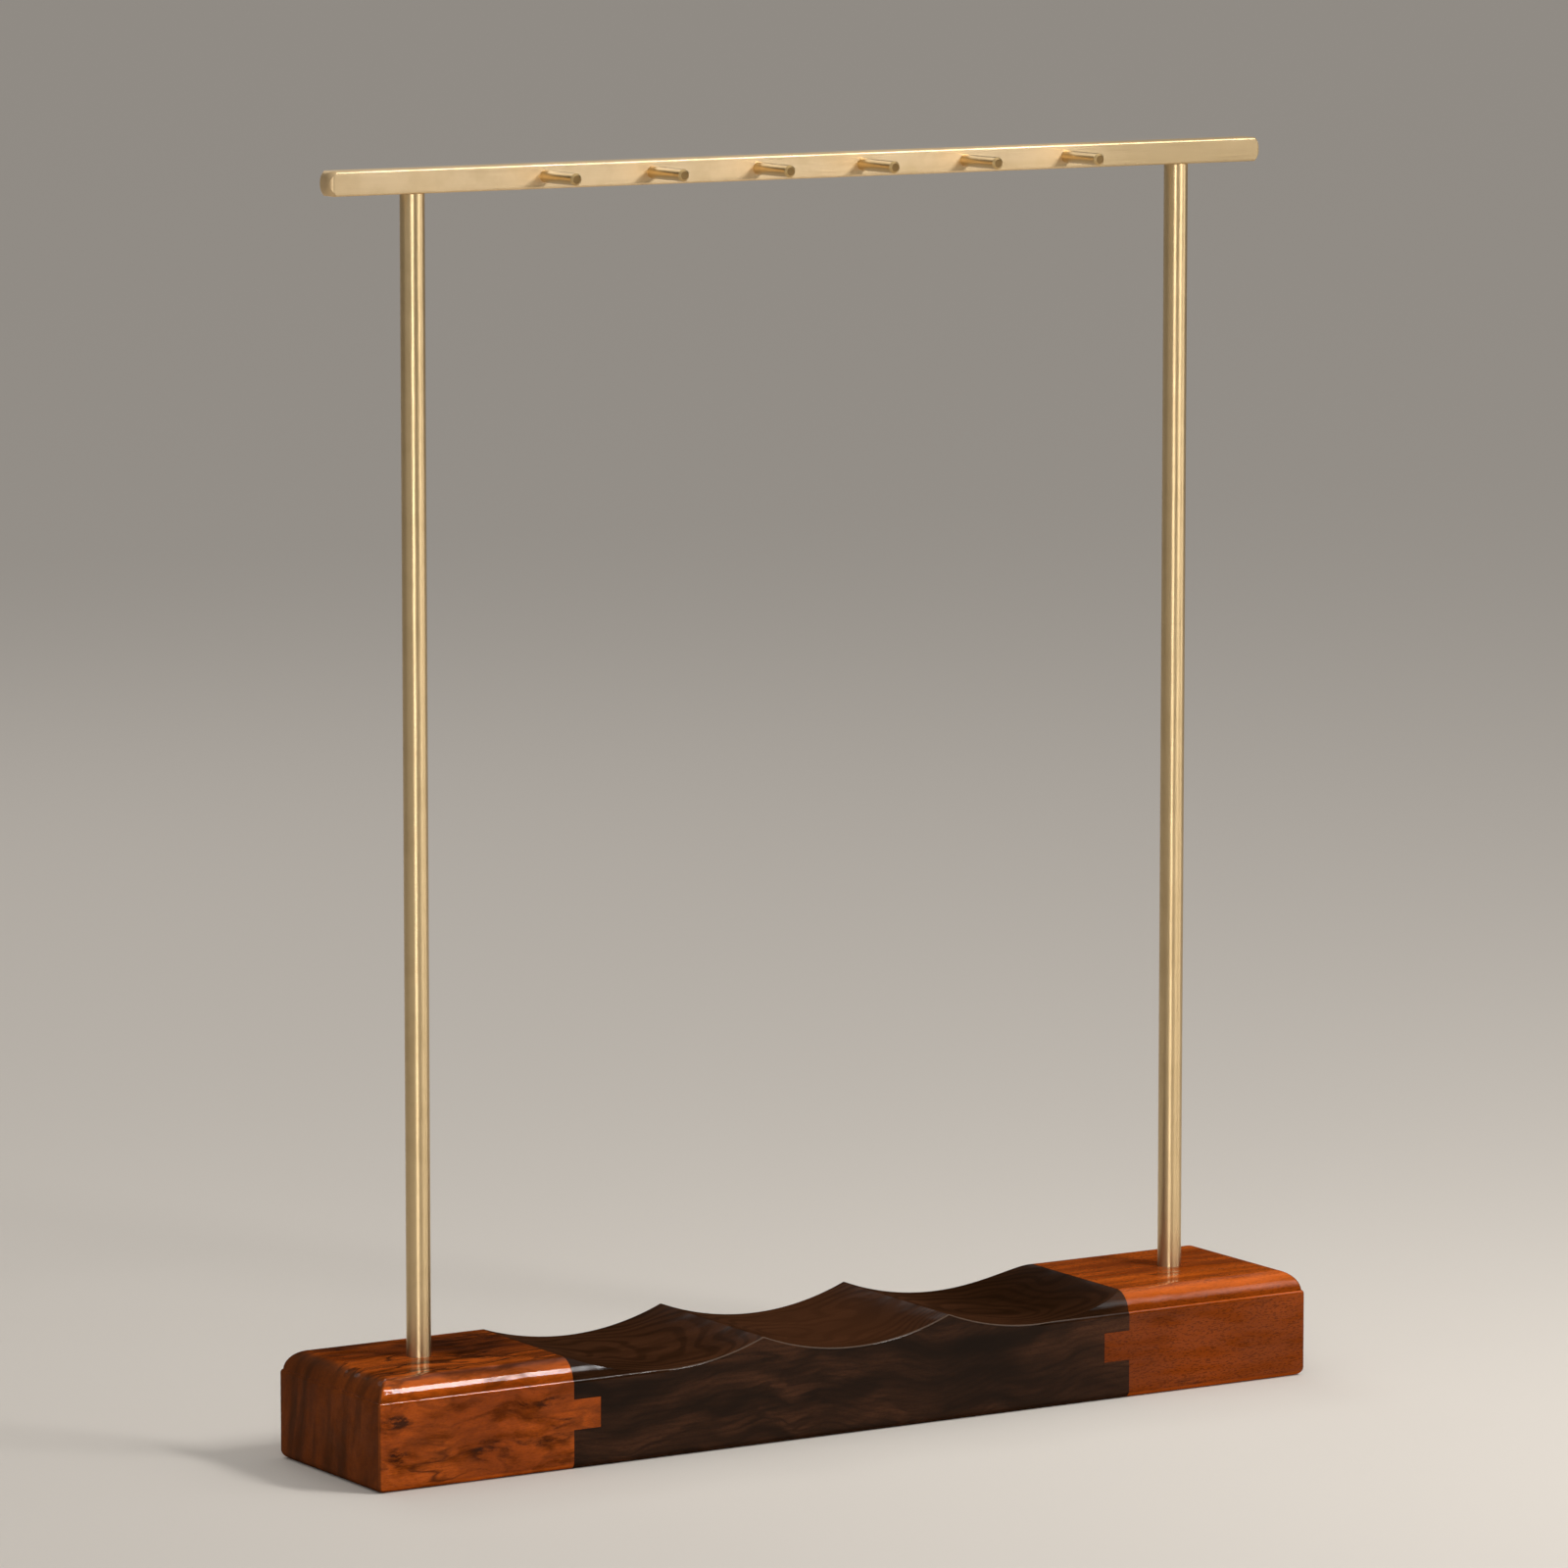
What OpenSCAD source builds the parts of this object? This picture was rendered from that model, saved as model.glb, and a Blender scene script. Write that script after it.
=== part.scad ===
// Brush rack: a wooden base in three parts with scooped brush rests, two round
// brass posts and a square brass bar with a row of pegs for hanging brushes.
// Millimetres. +Z is up, +X is to the right and the pegs point to -Y.
// The origin is the middle of the underside of the base.

/* [Base] */
// Depth of the base, from front to back
base_d = 50; // [40:1:80]
// Height of the base
base_h = 27; // [25:1:40]
// Length of each end block, without its tongue
end_block_l = 54; // [45:1:80]
// Radius of the upright corners
corner_r = 0.8; // [0.4:0.1:2]
// Radius of the lower edges
bottom_r = 2; // [0.5:0.5:4]
// Radius of the upper edges
roundover_r = 5.5; // [3:0.5:8]
// Width of the flat step under the rounded upper edges
ledge_w = 0.45; // [0.3:0.05:2]
// Depth of that step below the top
ledge_drop = 5; // [3:0.5:8]

/* [Brush rests] */
// Number of scoops in the centre block
scoop_count = 3; // [2:1:5]
// Spacing of the scoops
scoop_pitch = 54; // [40:1:70]
// Depth of each scoop
scoop_depth = 5.1; // [3:0.1:8]
// Width of the flat left on top of each ridge
ridge_w = 0.5; // [0.2:0.1:2]
// Chamfer along the front and back edges of the scoops
scoop_chamfer = 0.6; // [0.2:0.1:1]

/* [Tongue joints] */
// Thickness of the tongue on each end block
tongue_t = 7.5; // [5:0.5:10]
// Length of the tongue
tongue_l = 7.5; // [5:0.5:12]
// Gap for glue above, below and past the tongue
glue_gap = 0.05; // [0.02:0.01:0.2]

/* [Posts] */
// Diameter of the posts
post_d = 6; // [5.5:0.5:10]
// Height of the posts that shows between the base and the bar
post_exposed = 282; // [200:1:400]
// Distance from the end of the base to the axis of the post
post_inset = 25; // [20:1:32]
// Depth of the post's socket in the end block
socket_depth = 15; // [10:1:17]
// Diameter of the spigot on top of the post
post_spigot_d = 4; // [3:0.25:5]
// Length of that spigot
post_spigot_l = 4; // [2:0.5:4.5]

/* [Bar] */
// Height of the bar
bar_h = 6; // [5.5:0.5:12]
// Depth of the bar, from front to back
bar_d = 6; // [5.5:0.5:12]
// Length of the bar past the axis of each post
bar_overhang = 24; // [10:1:40]
// Radius of the long edges of the bar
bar_edge_r = 0.5; // [0.2:0.1:1]
// Radius of the edges round the ends of the bar
bar_end_r = 1.6; // [0.5:0.1:2.5]
// Radius that takes the corners off those ends
bar_corner_r = 3.2; // [2:0.1:3.5]

/* [Pegs] */
// Spacing of the pegs
peg_pitch = 30; // [20:1:36]
// Diameter of the pegs
peg_d = 3; // [2.5:0.25:5]
// Length of each peg in front of the bar
peg_l = 15; // [8:1:30]
// Chamfer on the tip of each peg
peg_chamfer = 0.5; // [0.1:0.1:0.6]
// Diameter of the spigot behind each peg
peg_spigot_d = 2; // [1.5:0.25:2.25]
// Length of that spigot
peg_spigot_l = 4; // [2:0.5:4.5]

/* [Foot screws] */
// Diameter of the screws that hold the posts from below
screw_d = 4; // [3:0.25:4.5]
// Length of screw inside the post
thread_l = 8; // [5:1:20]
// Diameter of the screw head
head_d = 7.5; // [6:0.5:8.5]
// Height of the screw head
head_h = 2.6; // [2:0.1:3.5]
// Width of the cross slot in the screw head
drive_w = 1.1; // [0.8:0.1:1.5]
// Length of the cross slot
drive_l = 4.4; // [3:0.1:5]
// Depth of the cross slot
drive_depth = 1.4; // [0.8:0.1:1.6]
// Diameter of the washer
washer_d = 9; // [8:0.5:10]
// Thickness of the washer
washer_t = 0.8; // [0.5:0.1:1.5]
// Diameter of the counterbore under each post
counterbore_d = 10.5; // [10.25:0.25:14]
// Depth of that counterbore
counterbore_depth = 6; // [5:0.5:8]

/* [Fits] */
// Gap round a metal piece that is fixed in its hole
fit_gap = 0.05; // [0.02:0.01:0.1]
// Gap round the screw where it passes through wood and washer
screw_gap = 0.2; // [0.1:0.05:0.4]
// Depth left over at the blind end of a bore
end_gap = 0.3; // [0.1:0.1:1]

/* [Hidden] */
$fn = 96;

peg_count = 6;
rosewood = "#8f3f1e";
ebony = "#2e1d15";
brass = "#d0ac6a";
steel = "#a3a6aa";

// Base, along X
centre_l = scoop_count * scoop_pitch;
base_l = centre_l + 2 * end_block_l;
joint_x = centre_l / 2;
post_x = base_l / 2 - post_inset;
outer_scoop_x = (scoop_count - 1) * scoop_pitch / 2;

// Base, along Z
ledge_z = base_h - ledge_drop;
roundover_z = base_h - roundover_r;
tongue_z = (base_h - tongue_t) / 2;
socket_z = base_h - socket_depth;

// A scoop is a round trough: its radius follows from its width and depth
scoop_w = scoop_pitch - ridge_w;
scoop_r = (pow(scoop_w / 2, 2) + pow(scoop_depth, 2)) / (2 * scoop_depth);
scoop_axis_z = base_h - scoop_depth + scoop_r;
scoop_fn = 360;

// Bar and pegs
bar_z = base_h + post_exposed;
bar_l = 2 * (post_x + bar_overhang);
peg_z = bar_z + bar_h / 2;

// Cuts run past the faces that they open by this much
over = 1;

function scoop_x(i) = (i - (scoop_count - 1) / 2) * scoop_pitch;
function peg_x(i) = (i - (peg_count + 1) / 2) * peg_pitch;

// Carries a section drawn in Y and Z along X, or one drawn in X and Z along Y
module along_x(l) rotate([90, 0, 90]) linear_extrude(height = l, center = true) children();
module along_y(l) rotate([90, 0, 0]) linear_extrude(height = l, center = true) children();

// Rectangle with round corners, about its centre
module round_rect(w, h, r) {
    square([w - 2 * r, h], center = true);
    square([w, h - 2 * r], center = true);
    for (x = [-1, 1], y = [-1, 1])
        translate([x * (w / 2 - r), y * (h / 2 - r)]) circle(r);
}

// Section that stands on the ground, with round lower edges and a square top
module foot_section(w, h) {
    translate([-w / 2 + bottom_r, 0]) square([w - 2 * bottom_r, h]);
    translate([-w / 2, bottom_r]) square([w, h - bottom_r]);
    for (side = [-1, 1])
        translate([side * (w / 2 - bottom_r), bottom_r]) circle(bottom_r);
}

// The same section with the ledge and the round of the upper edges
module moulded_section(w) {
    top_w = w - 2 * ledge_w;
    foot_section(w, ledge_z);
    translate([-top_w / 2, bottom_r]) square([top_w, roundover_z - bottom_r]);
    translate([-top_w / 2 + roundover_r, 0]) square([top_w - 2 * roundover_r, base_h]);
    for (side = [-1, 1])
        translate([side * (top_w / 2 - roundover_r), roundover_z]) circle(roundover_r);
}

// The whole base with its moulded edges, before it is parted and scooped
module moulded_base() {
    intersection() {
        along_x(base_l) moulded_section(base_d);
        along_y(base_d) moulded_section(base_l);
        linear_extrude(height = base_h) round_rect(base_l, base_d, corner_r);
    }
}

// Room between two places along X
module span_x(from, to) {
    translate([from, -base_d, -over]) cube([to - from, 2 * base_d, base_h + 2 * over]);
}

// Tongue on the inner end of the right end block, or with a gap the groove for it
module tongue(gap = 0) {
    translate([joint_x - tongue_l - gap, -base_d / 2 - gap, tongue_z - gap])
        cube([tongue_l + gap, base_d + 2 * gap, tongue_t + 2 * gap]);
}

// Socket, screw hole and counterbore under one post
module post_holes() {
    translate([post_x, 0, socket_z]) cylinder(d = post_d + 2 * fit_gap, h = socket_depth + over);
    translate([post_x, 0, 0]) cylinder(d = screw_d + 2 * screw_gap, h = base_h);
    translate([post_x, 0, -over]) cylinder(d = counterbore_d, h = counterbore_depth + over);
}

module end_block() {
    difference() {
        union() {
            intersection() {
                moulded_base();
                span_x(joint_x, base_l);
            }
            tongue();
        }
        post_holes();
    }
}

// Trough of one scoop, with the chamfers where it opens at the front and the back
module scoop() {
    translate([0, base_d / 2 + over, scoop_axis_z])
        rotate([90, 0, 0]) cylinder(r = scoop_r, h = base_d + 2 * over, $fn = scoop_fn);
    for (side = [0, 1])
        mirror([0, side, 0])
            translate([0, -base_d / 2 + scoop_chamfer, scoop_axis_z])
                rotate([90, 0, 0])
                    cylinder(
                        r1 = scoop_r,
                        r2 = scoop_r + scoop_chamfer + over,
                        h = scoop_chamfer + over,
                        $fn = scoop_fn
                    );
}

// The moulded edge stops in the valleys of the outer scoops
module centre_blank() {
    intersection() {
        moulded_base();
        span_x(-joint_x, joint_x);
    }
    along_x(2 * outer_scoop_x) foot_section(base_d, base_h);
}

module centre_block() {
    color(ebony) difference() {
        centre_blank();
        for (i = [0 : scoop_count - 1])
            translate([scoop_x(i), 0, 0]) scoop();
        for (side = [0, 1])
            mirror([side, 0, 0]) groove();
    }
}

// Groove for the tongue, open at the end of the centre block
module groove() {
    tongue(glue_gap);
    translate([joint_x, -base_d / 2 - glue_gap, tongue_z - glue_gap])
        cube([over, base_d + 2 * glue_gap, tongue_t + 2 * glue_gap]);
}

module left_end_block() color(rosewood) mirror([1, 0, 0]) end_block();
module right_end_block() color(rosewood) end_block();

// Post with a tapped lower end and a turned spigot on top
module post(x) {
    color(brass) translate([x, 0, 0]) difference() {
        union() {
            translate([0, 0, socket_z]) cylinder(d = post_d, h = bar_z - socket_z);
            translate([0, 0, bar_z]) cylinder(d = post_spigot_d, h = post_spigot_l);
        }
        translate([0, 0, socket_z - over])
            cylinder(d = screw_d + 2 * fit_gap, h = thread_l + end_gap + over);
    }
}

module left_post() post(-post_x);
module right_post() post(post_x);

// Round rod that the bar fits inside, with round ends that meet the corners of the bar's ends
module rod_round_bar() {
    reach = norm([bar_d, bar_h]) / 2;
    rotate([0, 90, 0]) rotate_extrude() intersection() {
        round_rect(2 * reach, bar_l, bar_corner_r);
        translate([0, -bar_l / 2]) square([reach, bar_l]);
    }
}

// Bar with blind bores for the spigots of the posts and of the pegs
module top_bar() {
    color(brass) difference() {
        translate([0, 0, peg_z]) intersection() {
            along_x(bar_l) round_rect(bar_d, bar_h, bar_edge_r);
            along_y(bar_d) round_rect(bar_l, bar_h, bar_end_r);
            linear_extrude(height = bar_h, center = true) round_rect(bar_l, bar_d, bar_end_r);
            rod_round_bar();
        }
        for (side = [-1, 1])
            translate([side * post_x, 0, bar_z - over])
                cylinder(d = post_spigot_d + 2 * fit_gap, h = post_spigot_l + end_gap + over);
        for (i = [1 : peg_count])
            translate([peg_x(i), -bar_d / 2 - over, peg_z]) rotate([-90, 0, 0])
                cylinder(d = peg_spigot_d + 2 * fit_gap, h = peg_spigot_l + end_gap + over);
    }
}

// One peg, counted from the left, with its shoulder on the front of the bar
module peg(i) {
    color(brass) translate([peg_x(i), -bar_d / 2, peg_z]) rotate([90, 0, 0]) {
        cylinder(d = peg_d, h = peg_l - peg_chamfer);
        translate([0, 0, peg_l - peg_chamfer])
            cylinder(d1 = peg_d, d2 = peg_d - 2 * peg_chamfer, h = peg_chamfer);
        translate([0, 0, -peg_spigot_l]) cylinder(d = peg_spigot_d, h = peg_spigot_l);
    }
}

// Screw from below: its head bears on the washer in the counterbore
module foot_screw(x) {
    head_z = counterbore_depth - washer_t;
    color(steel) translate([x, 0, head_z]) difference() {
        union() {
            translate([0, 0, -head_h]) cylinder(d = head_d, h = head_h);
            cylinder(d = screw_d, h = socket_z + thread_l - head_z);
        }
        for (turn = [0, 90])
            rotate([0, 0, turn]) translate([-drive_l / 2, -drive_w / 2, -head_h - over])
                cube([drive_l, drive_w, drive_depth + over]);
    }
}

module left_foot_screw() foot_screw(-post_x);
module right_foot_screw() foot_screw(post_x);

module foot_washer(x) {
    color(steel) translate([x, 0, counterbore_depth - washer_t]) difference() {
        cylinder(d = washer_d, h = washer_t);
        translate([0, 0, -over]) cylinder(d = screw_d + 2 * screw_gap, h = washer_t + 2 * over);
    }
}

module left_foot_washer() foot_washer(-post_x);
module right_foot_washer() foot_washer(post_x);

left_end_block();
right_end_block();
centre_block();
left_post();
right_post();
top_bar();
peg(1);  // peg_1
peg(2);  // peg_2
peg(3);  // peg_3
peg(4);  // peg_4
peg(5);  // peg_5
peg(6);  // peg_6
left_foot_screw();
right_foot_screw();
left_foot_washer();
right_foot_washer();
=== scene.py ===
"""Brush rack: a moulded base of three glued woods, two brass rods and a brass bar with hanging pegs."""

import math

import bmesh
import bpy
from bpy.props import FloatProperty, FloatVectorProperty, PointerProperty
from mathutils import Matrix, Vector


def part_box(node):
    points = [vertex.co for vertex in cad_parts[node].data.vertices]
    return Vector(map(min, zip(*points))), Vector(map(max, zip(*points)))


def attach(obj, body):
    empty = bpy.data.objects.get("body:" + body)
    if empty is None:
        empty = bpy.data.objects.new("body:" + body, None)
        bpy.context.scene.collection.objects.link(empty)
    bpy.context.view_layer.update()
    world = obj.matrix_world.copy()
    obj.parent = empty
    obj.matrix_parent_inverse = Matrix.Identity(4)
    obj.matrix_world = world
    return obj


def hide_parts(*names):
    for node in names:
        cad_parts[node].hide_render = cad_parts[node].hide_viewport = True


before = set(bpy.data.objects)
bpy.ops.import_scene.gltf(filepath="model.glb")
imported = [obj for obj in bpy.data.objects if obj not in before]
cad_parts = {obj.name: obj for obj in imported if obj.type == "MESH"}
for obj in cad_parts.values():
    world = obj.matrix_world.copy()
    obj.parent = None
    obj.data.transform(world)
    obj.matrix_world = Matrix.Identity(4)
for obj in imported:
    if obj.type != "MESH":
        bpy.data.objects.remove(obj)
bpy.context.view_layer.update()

bl_info = {
    "name": "Brush Rack",
    "version": (1, 0, 0),
    "blender": (4, 5, 0),
    "location": "3D View > Sidebar > Rack",
    "description": "Models a desk rack for ink brushes in lacquered wood and brushed brass",
    "category": "Object",
}

MM = 0.001
BODY = "root"
PEG_COUNT = 6

# Places that the frame gives
BLOCK_LOW, BLOCK_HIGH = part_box("right_end_block")
CENTRE_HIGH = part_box("centre_block")[1]
POST_LOW, POST_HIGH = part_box("right_post")
BAR_LOW, BAR_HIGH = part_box("top_bar")
PEG_LOW, PEG_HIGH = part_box("peg_1")
SCREW_LOW, SCREW_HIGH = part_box("right_foot_screw")
WASHER_LOW, WASHER_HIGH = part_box("right_foot_washer")

BASE_END = BLOCK_HIGH.x
BASE_FRONT = BLOCK_LOW.y
BASE_TOP = BLOCK_HIGH.z
JOINT_X = CENTRE_HIGH.x
TONGUE_LENGTH = JOINT_X - BLOCK_LOW.x
POST_X = (POST_LOW.x + POST_HIGH.x) / 2
POST_RADIUS = (POST_HIGH.x - POST_LOW.x) / 2
SCOOP_PITCH = 2 * JOINT_X / 3

# Rounds are cut into facets of this turn, and edges sharper than the limit stay crisp
FACET = math.radians(8)
SMOOTH_LIMIT = math.radians(17)
QUARTER = math.pi / 2
RIM_END = math.radians(80)

# Facets round a turned piece, by its size
SCOOP_FACETS = 480
POST_FACETS = 96
SMALL_FACETS = 64
BORE_FACETS = 48

# Tools reach this far past what they cut, and points closer than the weld become one
CUT_MARGIN = 2 * MM
WELD = 0.002 * MM
FACES_AXIS = 0.99

# Hidden sizes, which nothing in the photo gives
COUNTERBORE_SPACE = 0.75 * MM
SCREW_HOLE_RADIUS = 2.2 * MM
THREAD_RADIUS = 2 * MM
THREAD_SPACE = 0.3 * MM
POST_SPIGOT_RADIUS = 2 * MM
PEG_SPIGOT_RADIUS = 1 * MM
SPIGOT_SPACE = 0.3 * MM
HEAD_CROWN = 0.8 * MM
SCREW_POINT = 0.6 * MM
SLOT_REACH = 2.2 * MM
SLOT_WIDTH = 1.1 * MM
SLOT_DEPTH = 1.4 * MM
WASHER_EDGE = 0.12 * MM


def length(label, note, millimetres):
    return FloatProperty(name=label, description=note, default=millimetres * MM, unit="LENGTH")


def angle(label, note, degrees):
    return FloatProperty(name=label, description=note, default=math.radians(degrees), subtype="ANGLE")


def wattage(label, note, watts):
    return FloatProperty(name=label, description=note, default=watts, unit="POWER")


def tint(label, note, colour):
    return FloatVectorProperty(name=label, description=note, default=colour, subtype="COLOR")


class RackSizes(bpy.types.PropertyGroup):
    """Sizes of the rack that the frame's boxes don't give"""

    roundover: length("Upper Edge", "Radius of the upper edges of the base", 5.5)
    ledge: length("Ledge", "Width of the flat step under that round", 0.45)
    ledge_drop: length("Ledge Drop", "Depth of that step below the top", 5)
    ledge_ease: length("Ledge Ease", "Height of the worn rim of the step", 1)
    foot_round: length("Lower Edge", "Radius of the lower edges of the base", 2)
    corner: length("Corner", "Radius of the upright corners", 0.8)
    scoop_depth: length("Scoop Depth", "Depth of each brush rest", 5.1)
    ridge: length("Ridge", "Width of the top of each ridge", 0.5)
    scoop_ease: length("Scoop Ease", "Radius where a scoop meets the front", 0.6)
    tongue: length("Tongue", "Thickness of the tongues", 7.5)
    glue: length("Glue Line", "Gap round the tongues", 0.05)
    rod_edge: length("Rod Edge", "Chamfer on the ends of the rods", 0.2)
    bar_end: length("Bar End", "Radius round the ends of the bar", 1.6)
    bar_corner: length("Bar Corner", "Radius that takes the corners off the ends of the bar", 3.2)
    bar_edge: length("Bar Edge", "Radius of the long edges of the bar", 0.55)
    peg_edge: length("Peg Edge", "Chamfer on the tip of each peg", 0.5)


class RackColours(bpy.types.PropertyGroup):
    """Colours of the woods, the brass and the floor"""

    rose_light: tint("Rosewood Light", "Palest layers", (0.68, 0.13, 0.01))
    rose_mid: tint("Rosewood Mid", "Main colour", (0.25, 0.042, 0.003))
    rose_dark: tint("Rosewood Dark", "Veins and streaks", (0.026, 0.006, 0.001))
    rose_end: tint("Rosewood End", "End grain", (0.042, 0.02, 0.01))
    dark_light: tint("Dark Wood Light", "Brown ground", (0.06, 0.022, 0.009))
    # Painted highlight along the eased rims of the scoops
    dark_rim_highlight: tint("Dark Wood Rim Highlight", "Painted highlight on the scoop rims", (0.1, 0.068, 0.048))
    dark_deep: tint("Dark Wood Deep", "Near-black bands", (0.007, 0.003, 0.001))
    brass: tint("Brass", "Clean brushed brass", (0.79, 0.605, 0.37))
    peg_brass: tint("Peg Brass", "Darker brass of the pegs", (0.58, 0.39, 0.16))
    peg_end: tint("Peg End", "Dull cut ends of the pegs", (0.2, 0.115, 0.04))
    rod_brass: tint("Rod Brass", "Warmer brass of the rods", (0.79, 0.595, 0.33))
    brass_aged: tint("Brass Aged", "Slightly tarnished brass", (0.60, 0.43, 0.22))
    # Painted shade on the right end of the bar
    brass_shaded: tint("Brass Shaded", "Painted shade on the right end of the bar", (0.5, 0.37, 0.2))
    zinc: tint("Zinc", "Plated screws and washers", (0.55, 0.56, 0.58))
    zinc_dull: tint("Zinc Dull", "Dull patches of the plating", (0.35, 0.34, 0.3))
    floor: tint("Floor", "Plain pale floor", (0.62, 0.57, 0.51))


class RackStage(bpy.types.PropertyGroup):
    """Camera and lamps"""

    camera_place: FloatVectorProperty(
        name="Camera", description="Place of the camera", default=(-1.101, -1.7767, 0.4415), subtype="XYZ"
    )
    camera_lens: FloatProperty(name="Lens", description="Focal length", default=195.75, unit="CAMERA")
    camera_tilt: angle("Tilt", "Angle below the horizon", 7.694)
    camera_heading: angle("Heading", "Turn to the right", 31.649)
    key_power: wattage("Key", "Power of the strip softbox high on the right", 6.2)
    key_lean: angle("Key Lean", "Turn of that softbox about the rack's length", 40)
    side_power: wattage("Side", "Power of the low softbox on the right", 0.9)
    band_power: wattage("Band", "Power of the softbox above the right front", 0.11)
    front_power: wattage("Front", "Power of the tall softbox beside the camera", 6.6)
    left_power: wattage("Left", "Power of the wide softbox on the left", 0.7)
    back_power: wattage("Back", "Power of the wide softbox behind", 2.5)
    sky_zenith: FloatProperty(name="Zenith", description="Light from straight above", default=0.75)
    sky_horizon: FloatProperty(name="Horizon", description="Light from the horizon", default=0.012)


# Modelling


def deselect_all():
    """Leaves edit mode and starts with nothing selected."""
    if bpy.context.mode != "OBJECT":
        bpy.ops.object.mode_set(mode="OBJECT")
    bpy.ops.object.select_all(action="DESELECT")


def pick(piece):
    """Selects this piece alone and makes it the active one."""
    deselect_all()
    piece.select_set(True)
    bpy.context.view_layer.objects.active = piece


def begin(name):
    """Names the primitive that was just added and opens it for editing."""
    piece = bpy.context.object
    piece.name = name
    piece.data.name = name
    bpy.ops.object.mode_set(mode="EDIT")
    return piece


def select_faces(piece, test):
    """Selects the faces whose middle and normal pass the test."""
    bpy.ops.mesh.select_mode(type="FACE")
    bpy.ops.mesh.select_all(action="DESELECT")
    shape = bmesh.from_edit_mesh(piece.data)
    for face in shape.faces:
        face.select_set(bool(test(face.calc_center_median(), face.normal)))
    bmesh.update_edit_mesh(piece.data)


def arc(start, end):
    """Angles that split an arc into facets, with both ends, in radians."""
    steps = max(3, math.ceil(abs(end - start) / FACET))
    return [start + (end - start) * i / steps for i in range(steps + 1)]


def quarter_round(radius):
    """Steps of a quarter round from its flat end: how far across and how far up each one is."""
    return [(radius * math.sin(a), radius * (1 - math.cos(a))) for a in arc(0, QUARTER)]


def both_ends(tip):
    """Levels from the mirror image of a tip, below the middle, up to that tip."""
    return [(size, -z) for size, z in tip] + tip[::-1]


def raise_levels(middle, half, levels):
    """Extrudes the selected face from level to level; each level is an inset and a height."""
    inset, height = levels[0]
    for next_inset, next_height in levels[1:]:
        bpy.ops.mesh.extrude_region_move(
            TRANSFORM_OT_translate={"value": (0, 0, next_height - height)}
        )
        grow = [(side - next_inset) / (side - inset) for side in half]
        bpy.ops.transform.resize(
            value=(grow[0], grow[1], 1), center_override=(middle[0], middle[1], next_height)
        )
        inset, height = next_inset, next_height


def rounded_stack(name, middle, half, corner, levels):
    """A block that rises through levels from a rectangle with round corners."""
    inset, height = levels[0]
    deselect_all()
    bpy.ops.mesh.primitive_plane_add(size=2, location=(middle[0], middle[1], height))
    piece = begin(name)
    bpy.ops.transform.resize(
        value=(half[0] - inset, half[1] - inset, 1), center_override=(middle[0], middle[1], height)
    )
    first_corner = corner * (1 - inset / min(half))
    bpy.ops.mesh.bevel(offset=first_corner, segments=len(arc(0, QUARTER)) - 1, affect="VERTICES")
    bpy.ops.mesh.select_all(action="SELECT")
    raise_levels(middle, half, levels)
    return piece


def turned(name, middle, profile, facets=POST_FACETS):
    """A piece turned on the Z axis; the profile is a list of radii and heights."""
    radius, height = profile[0]
    deselect_all()
    bpy.ops.mesh.primitive_circle_add(
        vertices=facets, radius=radius, fill_type="NGON", location=(middle[0], middle[1], height)
    )
    piece = begin(name)
    largest = max(r for r, _ in profile)
    raise_levels(middle, (largest, largest), [(largest - r, z) for r, z in profile])
    return piece


def lay_down(turn, axis, move):
    """Turns the whole shape that is being edited about an axis through the origin, then moves it."""
    bpy.ops.mesh.select_all(action="SELECT")
    bpy.ops.transform.rotate(value=turn, orient_axis=axis, center_override=(0, 0, 0))
    bpy.ops.transform.translate(value=move)


def cut_at(place, normal):
    """Saws the piece through and closes the cut; what lies on the side of the normal goes."""
    bpy.ops.mesh.select_all(action="SELECT")
    bpy.ops.mesh.bisect(plane_co=place, plane_no=normal, use_fill=True, clear_outer=True)


def score(place, normal):
    """Runs an edge round the piece without removing anything."""
    bpy.ops.mesh.select_all(action="SELECT")
    bpy.ops.mesh.bisect(plane_co=place, plane_no=normal)


def carve(piece, tool, operation="DIFFERENCE"):
    """Cuts the tool's shape out of the piece, or joins it on, and throws the tool away."""
    for shape in (tool, piece):
        pick(shape)
        bpy.ops.object.mode_set(mode="EDIT")
        bpy.ops.mesh.select_all(action="SELECT")
        bpy.ops.mesh.normals_make_consistent(inside=False)
        bpy.ops.object.mode_set(mode="OBJECT")
    cut = piece.modifiers.new("carve", "BOOLEAN")
    cut.operation = operation
    cut.solver = "EXACT"
    cut.object = tool
    bpy.ops.object.modifier_apply(modifier=cut.name)
    bpy.data.objects.remove(tool)


def box_tool(low, high):
    """A plain box between two corners, to carve with."""
    low, high = Vector(low), Vector(high)
    deselect_all()
    bpy.ops.mesh.primitive_cube_add(size=1, location=(low + high) / 2)
    tool = begin("box_tool")
    bpy.ops.transform.resize(value=high - low, center_override=(low + high) / 2)
    bpy.ops.object.mode_set(mode="OBJECT")
    return tool


def copy_of(piece, name, move=(0, 0, 0), mirror=False):
    """A copy with its own mesh, moved, or mirrored across the middle of the rack."""
    pick(piece)
    bpy.ops.object.duplicate(linked=False)
    copy = begin(name)
    bpy.ops.mesh.select_all(action="SELECT")
    bpy.ops.transform.translate(value=move)
    if mirror:
        bpy.ops.transform.resize(value=(-1, 1, 1), center_override=(0, 0, 0))
    bpy.ops.object.mode_set(mode="OBJECT")
    return copy


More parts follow.
